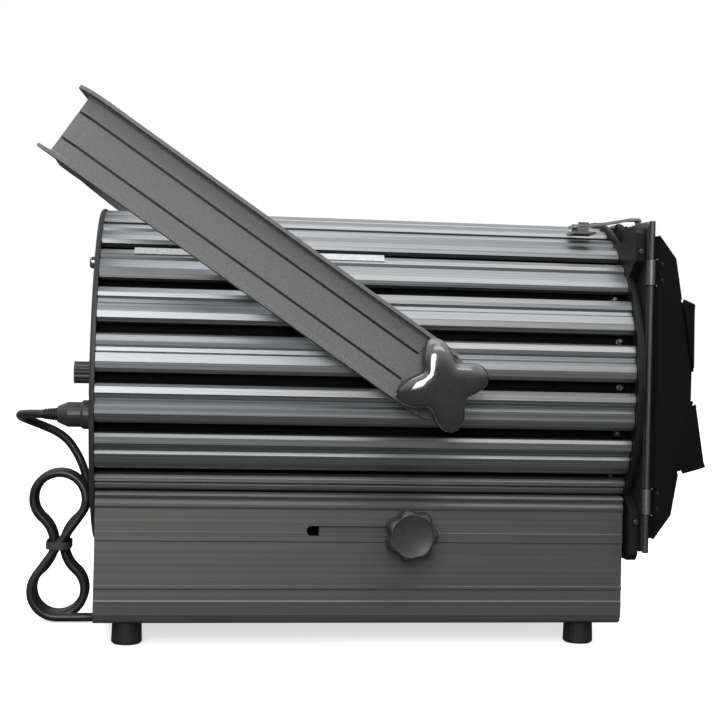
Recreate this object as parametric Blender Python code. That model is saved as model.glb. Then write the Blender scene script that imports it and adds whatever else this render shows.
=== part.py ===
"""Studio fresnel spotlight with a slatted housing, a tilting yoke and a four-leaf barn door.

The light points along +X. +Z is up, and the origin is under the middle of the lamp, on the floor.
Sizes are in millimetres, and MM turns them into Blender's metres.
"""
import bmesh
import bpy
from math import acos, asin, cos, pi, radians, sin
from mathutils import Matrix, Vector

MM = 0.001
CENTRE_X = 4.6                  # the lamp's middle, without its cord, in the sizes below
GAP = 0.3                       # between pieces that touch

# ---- head: slats on a circle around a dark inner tube
HEAD_Z = 199.0                  # height of the head's axis and of the tilt pivot
HEAD_REAR = -217.0
HEAD_FRONT = 186.0
SLAT_RADIUS = 133.0             # outer face of the slats
SLAT_DEPTH = 9.0
SLAT_PITCH = 360.0 / 22
SLAT_WIDTH = 12.6               # degrees
NARROW_WIDTH = 6.0
NARROW_ANGLE = -36.6            # the narrow slat that meets the base
SIDE_SLATS = 7                  # full slats on each side, below the one on top
TUBE_RADIUS = 121.0
TUBE_WALL = 1.5
PLATE_RADIUS = 134.0
PLATE_THICK = 4.0
LENS_THICK = 6.0

# ---- base: one extruded tray and two end panels
BASE_REAR = -216.0
BASE_FRONT = 184.0
BASE_BOTTOM = 17.0
BASE_TOP = 115.0
BASE_HALF = 113.0
WALL = 3.0
FOOT_RADIUS = 11.5
FOOT_REAR = -191.5
FOOT_FRONT = 156.0
FOOT_Y = 93.0

# ---- front: round ring with four ears, and the square barn-door frame
RING_RADIUS = 137.0
RING_STEP = 132.0
RING_BORE = 106.0
RING_DEPTH = 7.0
FRAME_HALF = 126.0
EAR_DROP = 11.0                 # the lower ears reach below the frame
FRAME_Z = 200.0
FRAME_THICK = 5.5
FRAME_CLEAR = 1.1               # ring to frame, so that the leaves' sleeves can turn
FRAME_BORE = 112.0

# ---- barn doors: leaves on the frame's edge rods, and a wing on each side of a side leaf
HINGE_OUT = 128.0               # the frame's middle to each edge rod
ROD_RADIUS = 2.4
SLEEVE_RADIUS = 3.5
SLEEVE_HALF = 10.0
LEAF_THICK = 1.2
LEAF_OFFSET = 6.0               # the sheet lies this far in front of its rod
SIDE_SLEEVE = 87.0              # a sleeve's middle, from the middle of the hinge
SIDE_HALF = 115.0
SIDE_SHOULDER = (46.0, 101.0)
SIDE_TIP = (103.0, 12.0)
WING_START = (67.8, 67.0)       # a wing's hinge runs from here to the leaf's tip
WING_CORNER = (104.0, 67.0)
WING_PIN = 1.0
WING_BARREL = 2.2
SMALL_SLEEVE = 36.0
SMALL_HALF = 88.0
SMALL_LENGTH = 56.0
SIDE_OPEN = 35.0                # degrees from shut
SMALL_OPEN = 3.0
LATCH_X = 158.0                 # the pin of the latch that keeps the door frame in its ears
LATCH_Y = -68.0
LATCH_Z = 325.0
WING_ANGLES = {"near_upper": 2.0, "near_lower": 25.0, "far_upper": 2.0, "far_lower": 20.0}

# ---- yoke: one bent channel with outward lips
PIVOT_X = 30.0
YOKE_HALF = 27.0                # half the channel's width
YOKE_WEB_IN = 142.0
YOKE_WEB = 3.0
YOKE_LIP = 10.0
YOKE_REACH = 321.5              # pivot to the crossbar's web
YOKE_FLAT = 20.0                # the crossbar's middle is flat this far to each side
YOKE_BEND = 14.0
YOKE_ANGLE = 146.0              # of the near arm, from +X towards +Z
YOKE_TWIST = 2.6                # the far arm stands this much steeper
ARM_END = 26.0
STAR_TIP = 34.5
STAR_VALLEY = 17.0
STAR_TURN = 14.0
STAR_IN = 158.0
STAR_OUT = 183.0
STEM_RADIUS = 5.0

# ---- focus: a sliding carriage with the light source, moved by a side knob
SLOT_Z = 87.0
SLOT_HALF = 3.75
SLOT_REAR = -56.0
SLOT_FRONT = 18.0
FOCUS_X = 16.0
FOCUS_RADIUS = 20.0
GUIDE_Y = 50.0
GUIDE_Z = 110.0
GUIDE_RADIUS = 4.0
CARRIAGE_DEPTH = 16.0

# ---- rear fittings and the mains cord
GLAND_Y = -40.0
GLAND_Z = 168.0
GLAND_RADIUS = 11.5
DIMMER_Y = -38.0
DIMMER_Z = 201.0
CORD_RADIUS = 3.5
PLUG_Y = 160.0
PLUG_REAR = -118.0
LEAD_ROUTE = (
    (-251.3, -40.0, 168.0), (-255.1, -40.0, 168.0), (-265.2, -38.0, 167.9), (-273.8, -32.3, 167.5),
    (-279.5, -23.7, 166.7), (-281.5, -13.6, 165.2), (-279.5, -3.5, 162.8), (-273.8, 5.1, 159.8),
    (-265.2, 10.8, 156.0), (-255.1, 12.8, 151.3), (-246.0, 13.0, 144.5), (-238.8, 12.5, 134.6),
    (-234.2, 11.9, 125.6),
)
TAIL_ROUTE = (
    (-231.0, -10.8, 3.8), (-221.0, -9.9, 3.8), (-209.0, -5.8, 3.8), (-197.0, 3.6, 3.8),
    (-185.0, 20.0, 3.8), (-175.0, 43.0, 3.8), (-168.0, 70.0, 3.8), (-165.0, 98.0, 3.8),
    (-162.5, 116.0, 4.3), (-156.5, 132.5, 5.8), (-147.0, 146.0, 8.6), (-136.0, 154.3, 11.2),
    (-126.5, 158.6, 13.1), (-118.8, 160.0, 14.0),
)
HANK_X = -250.0
HANK_HALF_Y = 14.6
HANK_LOW, HANK_HIGH = 24.8, 98.3        # heights of the middles of its lower and upper loop
HANK_LOOP = 21.0                        # radius of both loops, along the cord's middle
HANK_WAIST = 27.3                       # radius of the bends that draw the strands in between them


def material(name, colour, roughness, metallic=0.0):
    made = bpy.data.materials.new(name)
    made.use_nodes = True
    shader = made.node_tree.nodes["Principled BSDF"]
    shader.inputs["Base Color"].default_value = (*colour, 1.0)
    shader.inputs["Roughness"].default_value = roughness
    shader.inputs["Metallic"].default_value = metallic
    return made


def make_object(name, verts, faces, look, smooth=False):
    """A mesh object from points in millimetres, its faces turned outwards."""
    mesh = bpy.data.meshes.new(name)
    work = bmesh.new()
    made = [work.verts.new(Vector(v) * MM) for v in verts]
    for face in faces:
        work.faces.new([made[i] for i in face])
    bmesh.ops.recalc_face_normals(work, faces=work.faces)
    work.to_mesh(mesh)
    work.free()
    obj = bpy.data.objects.new(name, mesh)
    obj.data.materials.append(look)
    bpy.context.scene.collection.objects.link(obj)
    if smooth:
        mesh.shade_smooth()
        mesh.set_sharp_from_angle(angle=radians(35))
    return obj


def along(axis, value, a, b):
    """A point with value on the given axis and (a, b) on the two others, in order."""
    point = [a, b]
    point.insert(axis, value)
    return tuple(point)


def prism(name, outline, axis, low, high, look, smooth=False):
    """A closed outline in the plane across axis (0, 1 or 2), extruded from low to high."""
    count = len(outline)
    verts = [along(axis, low, a, b) for a, b in outline] + [along(axis, high, a, b) for a, b in outline]
    faces = [tuple(range(count)), tuple(range(count, 2 * count))]
    faces += [(i, (i + 1) % count, (i + 1) % count + count, i + count) for i in range(count)]
    return make_object(name, verts, faces, look, smooth)


def box(name, low, high, look):
    outline = [(low[1], low[2]), (high[1], low[2]), (high[1], high[2]), (low[1], high[2])]
    return prism(name, outline, 0, low[0], high[0], look)


def circle(radius, count, centre=(0.0, 0.0), phase=0.0):
    steps = [phase + 2 * pi * i / count for i in range(count)]
    return [(centre[0] + radius * cos(t), centre[1] + radius * sin(t)) for t in steps]


def arc(centre, radius, start, end, count):
    steps = [start + (end - start) * i / (count - 1) for i in range(count)]
    return [(centre[0] + radius * cos(t), centre[1] + radius * sin(t)) for t in steps]


def rod(name, axis, centre, radius, low, high, look, count=20):
    return prism(name, circle(radius, count, centre), axis, low, high, look, smooth=True)


def lathe(name, profile, axis, centre, look, count=48, closed=True):
    """A profile of (place along axis, radius) turned round an axis through centre.

    A closed profile makes a ring. An open one starts and ends on flat round faces.
    """
    rows = len(profile)
    verts = []
    for place, radius in profile:
        verts += [along(axis, place, a, b) for a, b in circle(radius, count, centre)]
    faces = []
    for row in range(rows if closed else rows - 1):
        here, there = row * count, (row + 1) % rows * count
        faces += [(here + i, here + (i + 1) % count, there + (i + 1) % count, there + i)
                  for i in range(count)]
    if not closed:
        faces += [tuple(range(count)), tuple(range((rows - 1) * count, rows * count))]
    return make_object(name, verts, faces, look, smooth=True)


def combine(target, tool, operation):
    """Cut tool from target, or weld it on, and keep the tool as a hidden guide."""
    change = target.modifiers.new(operation.title(), "BOOLEAN")
    change.operation = operation
    change.object = tool
    change.solver = "EXACT"
    tool.hide_render = True
    tool.display_type = "WIRE"
    return target


def cut(target, tool):
    return combine(target, tool, "DIFFERENCE")


def weld(target, tool):
    return combine(target, tool, "UNION")


def set_origin(obj, point):
    """Move an object's origin to point, in millimetres, and leave its shape where it is."""
    where = Vector(point) * MM
    obj.data.transform(Matrix.Translation(-where))
    obj.location = where


def smooth_curve(points, per_span):
    """A Catmull-Rom curve through the points, with per_span steps between two of them."""
    route = [Vector(p) for p in points]
    ends = [route[0] * 2 - route[1]] + route + [route[-1] * 2 - route[-2]]
    line = []
    for i in range(len(route) - 1):
        a, b, c, d = ends[i:i + 4]
        for step in range(per_span):
            t = step / per_span
            line.append(0.5 * (2 * b + (c - a) * t + (2 * a - 5 * b + 4 * c - d) * t ** 2
                               + (3 * b - a - 3 * c + d) * t ** 3))
    return line + [route[-1]]


def cord_tube(name, route, look):
    data = bpy.data.curves.new(name, "CURVE")
    data.dimensions = "3D"
    data.bevel_depth = CORD_RADIUS * MM
    data.bevel_resolution = 2
    data.use_fill_caps = True
    line = smooth_curve(route, 2)
    spline = data.splines.new("POLY")
    spline.points.add(len(line) - 1)
    for point, place in zip(spline.points, line):
        point.co = (*(place * MM), 1.0)
    obj = bpy.data.objects.new(name, data)
    obj.data.materials.append(look)
    bpy.context.scene.collection.objects.link(obj)
    return obj


def hank_outline():
    """The outside of a hank that is drawn in at its waist, as points in X and Z."""
    rise = (HANK_HIGH - HANK_LOW) / 2
    middle = (HANK_HIGH + HANK_LOW) / 2
    lean = asin(rise / (HANK_LOOP + HANK_WAIST))
    reach = (HANK_LOOP + HANK_WAIST) * cos(lean)
    loop = HANK_LOOP + CORD_RADIUS
    waist = HANK_WAIST - CORD_RADIUS
    front = arc((0.0, HANK_LOW), loop, -pi / 2, lean, 9)
    front += arc((reach, middle), waist, pi + lean, pi - lean, 5)[1:-1]
    front += arc((0.0, HANK_HIGH), loop, -lean, pi / 2, 9)
    rear = [(-x, z) for x, z in reversed(front[1:-1])]
    return [(HANK_X + x, z) for x, z in front + rear]


# ---------------------------------------------------------------- head

def slat_outline(width):
    """Two rounded lobes with a groove between them, as (angle in degrees, radius)."""
    half = width / 2
    inner = SLAT_RADIUS - SLAT_DEPTH
    groove = 0.16 * half
    return [
        (-half, inner + 2.0), (-half, SLAT_RADIUS - 3.2), (-0.82 * half, SLAT_RADIUS - 0.9),
        (-0.5 * half, SLAT_RADIUS), (groove - 0.22 * half, SLAT_RADIUS - 0.8),
        (groove - 0.1 * half, SLAT_RADIUS - 2.8), (groove + 0.1 * half, SLAT_RADIUS - 2.8),
        (groove + 0.2 * half, SLAT_RADIUS - 0.9), (0.55 * half, SLAT_RADIUS),
        (0.86 * half, SLAT_RADIUS - 1.1), (half, SLAT_RADIUS - 3.4), (half, inner + 2.0),
        (0.7 * half, inner), (-0.7 * half, inner),
    ]


def slat(name, angle, width, side, look):
    """One slat on side -1 (near) or 1 (far), its middle angle degrees above the horizontal."""
    outline = []
    for turn, radius in slat_outline(width):
        t = radians(angle + turn)
        outline.append((side * radius * cos(t), HEAD_Z + radius * sin(t)))
    return prism(name, outline, 0, HEAD_REAR, HEAD_FRONT, look)


def build_slats(look):
    for side, word in ((-1, "near"), (1, "far")):
        slat(f"slat_{word}_0", NARROW_ANGLE, NARROW_WIDTH, side, look)
        for i in range(SIDE_SLATS):
            slat(f"slat_{word}_{i + 1}", (i - 1.5) * SLAT_PITCH, SLAT_WIDTH, side, look)
    slat("slat_top", 90.0, SLAT_WIDTH, -1, look)


def build_head(metal, dark, glass):
    inner = TUBE_RADIUS - TUBE_WALL
    rear = HEAD_REAR + GAP
    tube = lathe("inner_tube", [(rear, TUBE_RADIUS), (HEAD_FRONT, TUBE_RADIUS), (HEAD_FRONT, inner),
                                (rear, inner)], 0, (0, HEAD_Z), dark, 64)
    cut(tube, box("tube_slot", (FOCUS_X - 90, -24, HEAD_Z - 130), (FOCUS_X + 20, 24, HEAD_Z - 100), dark))
    plate_rear = HEAD_REAR - PLATE_THICK
    plate = lathe("rear_plate", [(plate_rear, PLATE_RADIUS - 1.5), (plate_rear + 1.5, PLATE_RADIUS),
                                 (HEAD_REAR - GAP, PLATE_RADIUS)], 0, (0, HEAD_Z), metal, 64, False)
    for name, y, z, radius in (("gland_hole", GLAND_Y, GLAND_Z, 7.7),
                               ("dimmer_hole", DIMMER_Y, DIMMER_Z, 3.4)):
        cut(plate, rod(name, 0, (y, z), radius, HEAD_REAR - 10, HEAD_REAR + 5, dark))
    glass_radius = inner - GAP
    lathe("lens", [(HEAD_FRONT - LENS_THICK, glass_radius), (HEAD_FRONT - 2.5, glass_radius),
                   (HEAD_FRONT, 80.0), (HEAD_FRONT, 20.0)], 0, (0, HEAD_Z), glass, 64, False)


# ---------------------------------------------------------------- base

def side_outline():
    """The extruded side from its top to its lower edge: two ridges, a raised band, a thin line."""
    top = BASE_TOP
    return [
        (103.0, top), (108.5, top), (111.8, top - 0.9), (BASE_HALF, top - 2.6), (111.6, top - 5.4),
        (111.6, top - 6.6), (BASE_HALF, top - 8.6), (BASE_HALF, top - 10.4), (112.1, top - 12.4),
        (112.1, 86.4), (112.8, 85.6), (112.8, 79.2), (112.1, 78.4), (112.1, 46.2), (BASE_HALF, 45.4),
        (BASE_HALF, 43.6), (112.1, 42.8), (112.1, 35.0), (112.6, 34.0), (112.0, 24.0), (110.0, 19.0),
        (106.0, BASE_BOTTOM),
    ]


def build_base(paint, dark, rubber):
    wall = BASE_HALF - 1.4 - WALL
    inner = [(103.0, BASE_TOP - WALL), (wall, BASE_TOP - WALL), (wall, BASE_BOTTOM + 6),
             (wall - 3, BASE_BOTTOM + WALL)]
    outer = side_outline()
    half = list(reversed(inner)) + outer
    section = [(-y, z) for y, z in half] + [(y, z) for y, z in reversed(half)]
    tray = prism("base_tray", section, 0, BASE_REAR, BASE_FRONT, paint)
    cut(tray, box("slot_middle", (SLOT_REAR, -BASE_HALF - 5, SLOT_Z - SLOT_HALF),
                  (SLOT_FRONT, -wall + 8, SLOT_Z + SLOT_HALF), dark))
    for x, end in ((SLOT_REAR, "rear"), (SLOT_FRONT, "front")):
        cut(tray, rod(f"slot_{end}", 1, (x, SLOT_Z), SLOT_HALF, -BASE_HALF - 6, -wall + 9, dark))
    side = wall - GAP
    floor = BASE_BOTTOM + WALL + GAP
    panel = [(-side, BASE_BOTTOM + 6.5), (3.6 - side, floor), (side - 3.6, floor), (side, BASE_BOTTOM + 6.5)]
    panel += under_tube(side, BASE_TOP - WALL - GAP)
    prism("base_rear_panel", panel, 0, BASE_REAR, BASE_REAR + 3, paint)
    prism("base_front_panel", panel, 0, BASE_FRONT - 3, BASE_FRONT, paint)
    for x, end in ((FOOT_REAR, "rear"), (FOOT_FRONT, "front")):
        for flip, word in ((-1, "near"), (1, "far")):
            top = BASE_BOTTOM - GAP
            lathe(f"foot_{end}_{word}", [(0.0, FOOT_RADIUS - 1.5), (1.5, FOOT_RADIUS), (top, FOOT_RADIUS - 0.5)],
                  2, (x, flip * FOOT_Y), rubber, 24, False)
    box("power_supply", (-195, -62, floor), (-82, 62, 58), dark)


def under_tube(half, top):
    """The upper edge of an end panel, from the far side under the head's tube to the near side."""
    clear = TUBE_RADIUS + 1.0
    reach = acos((HEAD_Z - top) / clear)
    steps = [reach - 2 * reach * i / 16 for i in range(17)]
    return [(half, top)] + [(clear * sin(t), HEAD_Z - clear * cos(t)) for t in steps] + [(-half, top)]


# ---------------------------------------------------------------- front ring and frame

def rounded_square(half, centre_z, radius, per_corner=4):
    points = []
    for sy, sz, start in ((1, 1, 0.0), (-1, 1, 0.5 * pi), (-1, -1, pi), (1, -1, 1.5 * pi)):
        for i in range(per_corner + 1):
            t = start + 0.5 * pi * i / per_corner
            points.append((sy * (half - radius) + radius * cos(t),
                           centre_z + sz * (half - radius) + radius * sin(t)))
    return points


def build_ring(dark):
    rear = HEAD_FRONT + GAP
    front = rear + RING_DEPTH
    ring = lathe("front_ring", [(rear, RING_BORE), (rear, RING_RADIUS), (rear + 3.0, RING_RADIUS),
                                (rear + 3.0, RING_STEP), (front, RING_STEP), (front, RING_BORE)],
                 0, (0, HEAD_Z), dark, 64)
    corner = FRAME_HALF - 4.0
    for side in (-1, 1):
        for up in (-1, 1):
            low = corner + (EAR_DROP if up < 0 else 0.0)
            ear = [(76.0, 96.0), (96.0, 76.0), (corner, corner - 26), (corner, low - 5),
                   (corner - 5, low), (corner - 26, low)]
            weld(ring, prism(f"ear_{side}_{up}", [(side * y, FRAME_Z + up * z) for y, z in ear], 0,
                             rear, front, dark))
    return front


def build_frame(rear, metal):
    """The square plate whose four edges carry hinge rods, with room around each leaf's sleeves."""
    front = rear + FRAME_THICK
    x = (rear + front) / 2
    frame = prism("door_frame", rounded_square(FRAME_HALF, FRAME_Z, 5.0), 0, rear, front, metal)
    cut(frame, rod("frame_bore", 0, (0, HEAD_Z), FRAME_BORE, rear - 5, front + 5, metal, 64))
    reach = SLEEVE_HALF + 0.6
    for side in (-1, 1):
        for middle in (-SIDE_SLEEVE, SIDE_SLEEVE):
            ys = sorted((side * (HINGE_OUT - SLEEVE_RADIUS - 0.8), side * (HINGE_OUT + 8)))
            cut(frame, box(f"side_pocket_{side}_{middle > 0}", (rear - 3, ys[0], FRAME_Z + middle - reach),
                           (front + 3, ys[1], FRAME_Z + middle + reach), metal))
            zs = sorted((FRAME_Z + side * (HINGE_OUT - SLEEVE_RADIUS - 0.8), FRAME_Z + side * (HINGE_OUT + 8)))
            place = SMALL_SLEEVE if middle > 0 else -SMALL_SLEEVE
            cut(frame, box(f"end_pocket_{side}_{middle > 0}", (rear - 3, place - reach, zs[0]),
                           (front + 3, place + reach, zs[1]), metal))
    for side, word in ((-1, "near"), (1, "far")):
        weld(frame, rod(f"side_rod_{word}", 2, (x, side * HINGE_OUT), ROD_RADIUS, FRAME_Z - FRAME_HALF,
                        FRAME_Z + FRAME_HALF, metal, 16))
        weld(frame, rod(f"end_rod_{word}", 1, (x, FRAME_Z + side * HINGE_OUT), ROD_RADIUS,
                        -SMALL_SLEEVE - 16, SMALL_SLEEVE + 16, metal, 16))
    return x


# ---------------------------------------------------------------- barn doors

def hinge_sleeves(sheet, name, middle, look):
    """Two sleeves round the hinge rod, each joined to the sheet by a short upright."""
    for i, v in enumerate((-middle, middle)):
        low, high = v - SLEEVE_HALF, v + SLEEVE_HALF
        upright = box(f"{name}_upright_{i}", (-1.3, low + 0.2, 1.0), (1.3, high - 0.2, LEAF_OFFSET), look)
        sleeve = rod(f"{name}_sleeve_{i}", 1, (0, 0), SLEEVE_RADIUS, low, high, look, 20)
        bore = rod(f"{name}_bore_{i}", 1, (0, 0), ROD_RADIUS + GAP, low - 2, high + 2, look, 20)
        for tool in (upright, sleeve):
            weld(sheet, tool)
            tool.parent = sheet
        cut(sheet, bore)
        bore.parent = sheet


def flat_sheet(name, outline, look):
    low = LEAF_OFFSET - LEAF_THICK / 2
    return prism(name, outline, 2, low, low + LEAF_THICK, look)


def aim_leaf(sheet, origin, shut, angle):
    """Put a leaf's hinge at origin and turn it angle degrees from its shut direction towards +X."""
    t = radians(angle)
    ahead = Vector((1, 0, 0))
    v = ahead.cross(Vector(shut))
    u = Vector(shut) * cos(t) + ahead * sin(t)
    turn = Matrix((u, v, u.cross(v))).transposed().to_4x4()
    sheet.matrix_world = Matrix.Translation(Vector(origin) * MM) @ turn


def wing_line(up):
    """The wing's hinge in its leaf's plane: a middle point, its direction, and its length."""
    start = Vector((WING_START[0], up * WING_START[1], LEAF_OFFSET))
    end = Vector((SIDE_TIP[0], up * SIDE_TIP[1], LEAF_OFFSET))
    return (start + end) / 2, (end - start).normalized(), (end - start).length


def side_leaf(name, look):
    """The large leaf, with knuckles for a wing along each of its two slanting edges."""
    back = WING_BARREL + 0.7
    slope = Vector((SIDE_TIP[0] - SIDE_SHOULDER[0], SIDE_TIP[1] - SIDE_SHOULDER[1])).normalized()
    inward = Vector((slope.y, -slope.x))
    shoulder = Vector(SIDE_SHOULDER)
    wing_start = Vector(WING_START) + inward * back
    tip = Vector(SIDE_TIP) + inward * back
    upper = [(-1.5, SIDE_HALF), tuple(shoulder), tuple(Vector(WING_START) - slope * 4),
             tuple(wing_start - slope * 4), (tip.x, tip.y)]
    lower = [(u, -v) for u, v in reversed(upper)]
    sheet = flat_sheet(name, upper + lower, look)
    hinge_sleeves(sheet, name, SIDE_SLEEVE, look)
    for up, word in ((1, "upper"), (-1, "lower")):
        middle, run, length = wing_line(up)
        away = Vector((run.y, -run.x, 0)) * (1 if up < 0 else -1)
        frame = Matrix((away, run, away.cross(run))).transposed().to_4x4()
        place = Matrix.Translation(middle * MM) @ frame
        for i, v in enumerate((-0.36 * length, 0.36 * length)):
            tag = f"{name}_{word}_{i}"
            web = box(f"{tag}_web", (-back - 2, v - 3.8, -0.5), (0, v + 3.8, 0.5), look)
            barrel = rod(f"{tag}_barrel", 1, (0, 0), WING_BARREL, v - 4, v + 4, look, 16)
            bore = rod(f"{tag}_bore", 1, (0, 0), WING_PIN + GAP, v - 6, v + 6, look, 12)
            for tool in (web, barrel, bore):
                tool.parent = sheet
                tool.matrix_local = place
            weld(sheet, web)
            weld(sheet, barrel)
            cut(sheet, bore)
    return sheet


def wing(name, leaf_sheet, up, angle, look):
    """A triangular flap on one slanting edge of a side leaf, with its hinge on its own Y axis."""
    middle, run, length = wing_line(up)
    away = Vector((run.y, -run.x, 0)) * (1 if up < 0 else -1)
    corner = Vector((*WING_CORNER, 0)) if up > 0 else Vector((WING_CORNER[0], -WING_CORNER[1], 0))
    corner = corner - Vector((middle.x, middle.y, 0))
    reach, place = corner.dot(away), corner.dot(run)
    edge = WING_BARREL + 0.7
    half = length / 2
    outline = [(edge, -half + 3), (edge + 3, -half), (reach - 3, place - 3), (reach, place),
               (reach - 3, place + 3), (edge + 3, half), (edge, half - 3)]
    flap = prism(name, outline, 2, -LEAF_THICK / 2, LEAF_THICK / 2, look)
    grip = 0.36 * length - 4.5
    parts = (box(f"{name}_web", (0, 0.2 - grip, -0.5), (edge + 2, grip - 0.2, 0.5), look),
             rod(f"{name}_barrel", 1, (0, 0), WING_BARREL, -grip, grip, look, 16),
             rod(f"{name}_pin", 1, (0, 0), WING_PIN, -0.36 * length - 4, 0.36 * length + 4, look, 12))
    for tool in parts:
        weld(flap, tool)
        tool.parent = flap
    t = radians(angle)
    forward = Vector((0, 0, 1))
    u = away * cos(t) + forward * sin(t)
    turn = Matrix((u, run, u.cross(run))).transposed().to_4x4()
    flap.matrix_world = leaf_sheet.matrix_world @ Matrix.Translation(middle * MM) @ turn


def small_leaf(name, look):
    step = SLEEVE_HALF + SMALL_SLEEVE + 2
    right = [(-1.5, step), (20.0, step), (20.0, SMALL_HALF), (SMALL_LENGTH, SMALL_HALF - SMALL_LENGTH + 20)]
    sheet = flat_sheet(name, right + [(u, -v) for u, v in reversed(right)], look)
    hinge_sleeves(sheet, name, SMALL_SLEEVE, look)
    return sheet


def build_doors(x, look):
    for side, word in ((-1, "near"), (1, "far")):
        sheet = side_leaf(f"leaf_{word}", look)
        aim_leaf(sheet, (x, side * HINGE_OUT, FRAME_Z), (0, -side, 0), SIDE_OPEN)
        bpy.context.view_layer.update()
        for up, level in ((1, "upper"), (-1, "lower")):
            flip = -side * up
            wing(f"wing_{word}_{level}", sheet, flip, WING_ANGLES[f"{word}_{level}"], look)
        sheet = small_leaf("leaf_top" if side > 0 else "leaf_bottom", look)
        aim_leaf(sheet, (x, 0, FRAME_Z + side * HINGE_OUT), (0, 0, -side), SMALL_OPEN)


def build_latch(hinge_x, bright, steel):
    """A strip pinned in a small bracket on the slats, which hooks over the top of the door frame."""
    y, pin_x, pin_z = LATCH_Y, LATCH_X, LATCH_Z
    hook = hinge_x + 7.5
    lip = FRAME_Z + FRAME_HALF - 5
    outline = [(pin_x, pin_z - 1.3), (168.0, pin_z - 1.3), (188.0, 330.4), (hook, 332.2), (hook, lip),
               (hook + 1.5, lip), (hook + 1.5, 333.8), (187.2, 331.8), (167.4, pin_z + 0.1),
               (pin_x, pin_z + 0.1)]
    strip = prism("latch_strip", outline, 1, y - 7, y + 7, bright)
    weld(strip, rod("latch_curl", 1, (pin_x, pin_z), 3.0, y - 6.8, y + 6.8, bright, 16))
    cut(strip, rod("latch_bore", 1, (pin_x, pin_z), 1.8, y - 9, y + 9, bright, 12))
    cut(strip, box("latch_window", (177.0, y - 3.5, 320), (190.0, y + 3.5, 345), bright))
    set_origin(strip, (pin_x, y, pin_z))
    floor = HEAD_Z + (SLAT_RADIUS ** 2 - (y + 11) ** 2) ** 0.5 + GAP
    plate = box("latch_bracket", (pin_x - 8, y - 11, floor), (pin_x + 10, y + 11, floor + 2), steel)
    for side in (-1, 1):
        ys = sorted((y + side * 8.2, y + side * 10.6))
        low, high = (pin_x - 4, ys[0], floor + 1), (pin_x + 4, ys[1], pin_z + 3.6)
        weld(plate, box(f"latch_ear_{side}", low, high, steel))
    weld(plate, rod("latch_pin", 1, (pin_x, pin_z), 1.5, y - 9.5, y + 9.5, steel, 12))


# ---------------------------------------------------------------- yoke and its knobs

def yoke_profile():
    """The channel's section as (across the arm, outwards from the web's inner face)."""
    half, web, lip = YOKE_HALF, YOKE_WEB, YOKE_LIP + YOKE_WEB
    return [
        (-half, 0.0), (half, 0.0), (half, lip), (half - 2.6, lip), (half - 2.6, web + 1.2),
        (half - 4.4, web), (12.6, web), (12.4, web - 1.6), (10.9, web - 1.6), (10.7, web),
        (-9.7, web), (-9.9, web - 1.6), (-11.4, web - 1.6), (-11.6, web), (4.4 - half, web),
        (2.6 - half, web + 1.2), (2.6 - half, lip), (-half, lip),
    ]


def yoke_stations(offset):
    """The bent centre line of the channel, offset outwards, as (Y, distance from the pivot)."""
    inner = YOKE_WEB_IN
    centre = (inner - YOKE_BEND, YOKE_REACH - YOKE_BEND)
    bend = [(centre[0] + (YOKE_BEND + offset) * cos(t), centre[1] + (YOKE_BEND + offset) * sin(t))
            for t in (0.5 * pi * i / 6 for i in range(7))]
    right = [(inner + offset, 0.0)] + bend + [(YOKE_FLAT, YOKE_REACH + offset)]
    return [(-y, r) for y, r in right] + [(y, r) for y, r in reversed(right)]


def yoke_axes(y):
    """The directions along and across the yoke's arms at a place across the lamp."""
    share = min(1.0, max(0.0, 0.5 + 0.5 * y / YOKE_WEB_IN))
    if abs(y) <= YOKE_FLAT:
        share = 0.5
    t = radians(YOKE_ANGLE - YOKE_TWIST * share)
    return Vector((cos(t), 0, sin(t))), Vector((-sin(t), 0, cos(t)))


def build_yoke(paint, dark):
    pivot = Vector((PIVOT_X, 0, HEAD_Z))
    lines = []
    for n, offset in yoke_profile():
        line = []
        for y, r in yoke_stations(offset):
            along_arm, across = yoke_axes(y)
            line.append(tuple(pivot + along_arm * r + across * n + Vector((0, y, 0))))
        lines.append(line)
    rows, stations = len(lines), len(lines[0])
    verts = [p for line in lines for p in line]
    faces = [((i * stations + j), (i * stations + j + 1), ((i + 1) % rows * stations + j + 1),
              ((i + 1) % rows * stations + j)) for i in range(rows) for j in range(stations - 1)]
    faces += [tuple(i * stations for i in range(rows)),
              tuple(i * stations + stations - 1 for i in range(rows))]
    yoke = make_object("yoke", verts, faces, paint)
    for side, word in ((-1, "near"), (1, "far")):
        ys = sorted((side * (YOKE_WEB_IN + 0.05), side * (YOKE_WEB_IN + YOKE_WEB - 0.05)))
        weld(yoke, rod(f"arm_end_{word}", 1, (PIVOT_X, HEAD_Z), ARM_END, *ys, paint, 40))
        cut(yoke, rod(f"arm_hole_{word}", 1, (PIVOT_X, HEAD_Z), STEM_RADIUS + 0.6,
                      ys[0] - 5, ys[1] + 5, dark))
    along_arm = yoke_axes(0.0)[0]
    hole = rod("spigot_hole", 0, (0, 0), 6.0, -20, 20, dark, 24)
    hole.location = (pivot + along_arm * (YOKE_REACH + 5)) * MM
    hole.rotation_euler = (0, -radians(YOKE_ANGLE - YOKE_TWIST / 2), 0)
    cut(yoke, hole)
    set_origin(yoke, pivot)


def star_radius(angle):
    """Four blunt arms: the outer edge of a knob at an angle, in radians."""
    wave = 0.5 + 0.5 * cos(4 * angle)
    return STAR_VALLEY + (STAR_TIP - STAR_VALLEY) * wave ** 1.15


def star_ring(scale, count=48):
    points = []
    for i in range(count):
        t = 2 * pi * i / count
        radius = star_radius(t) * scale
        turn = t + radians(STAR_TURN)
        points.append((PIVOT_X + radius * cos(turn), HEAD_Z + radius * sin(turn)))
    return points


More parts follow.
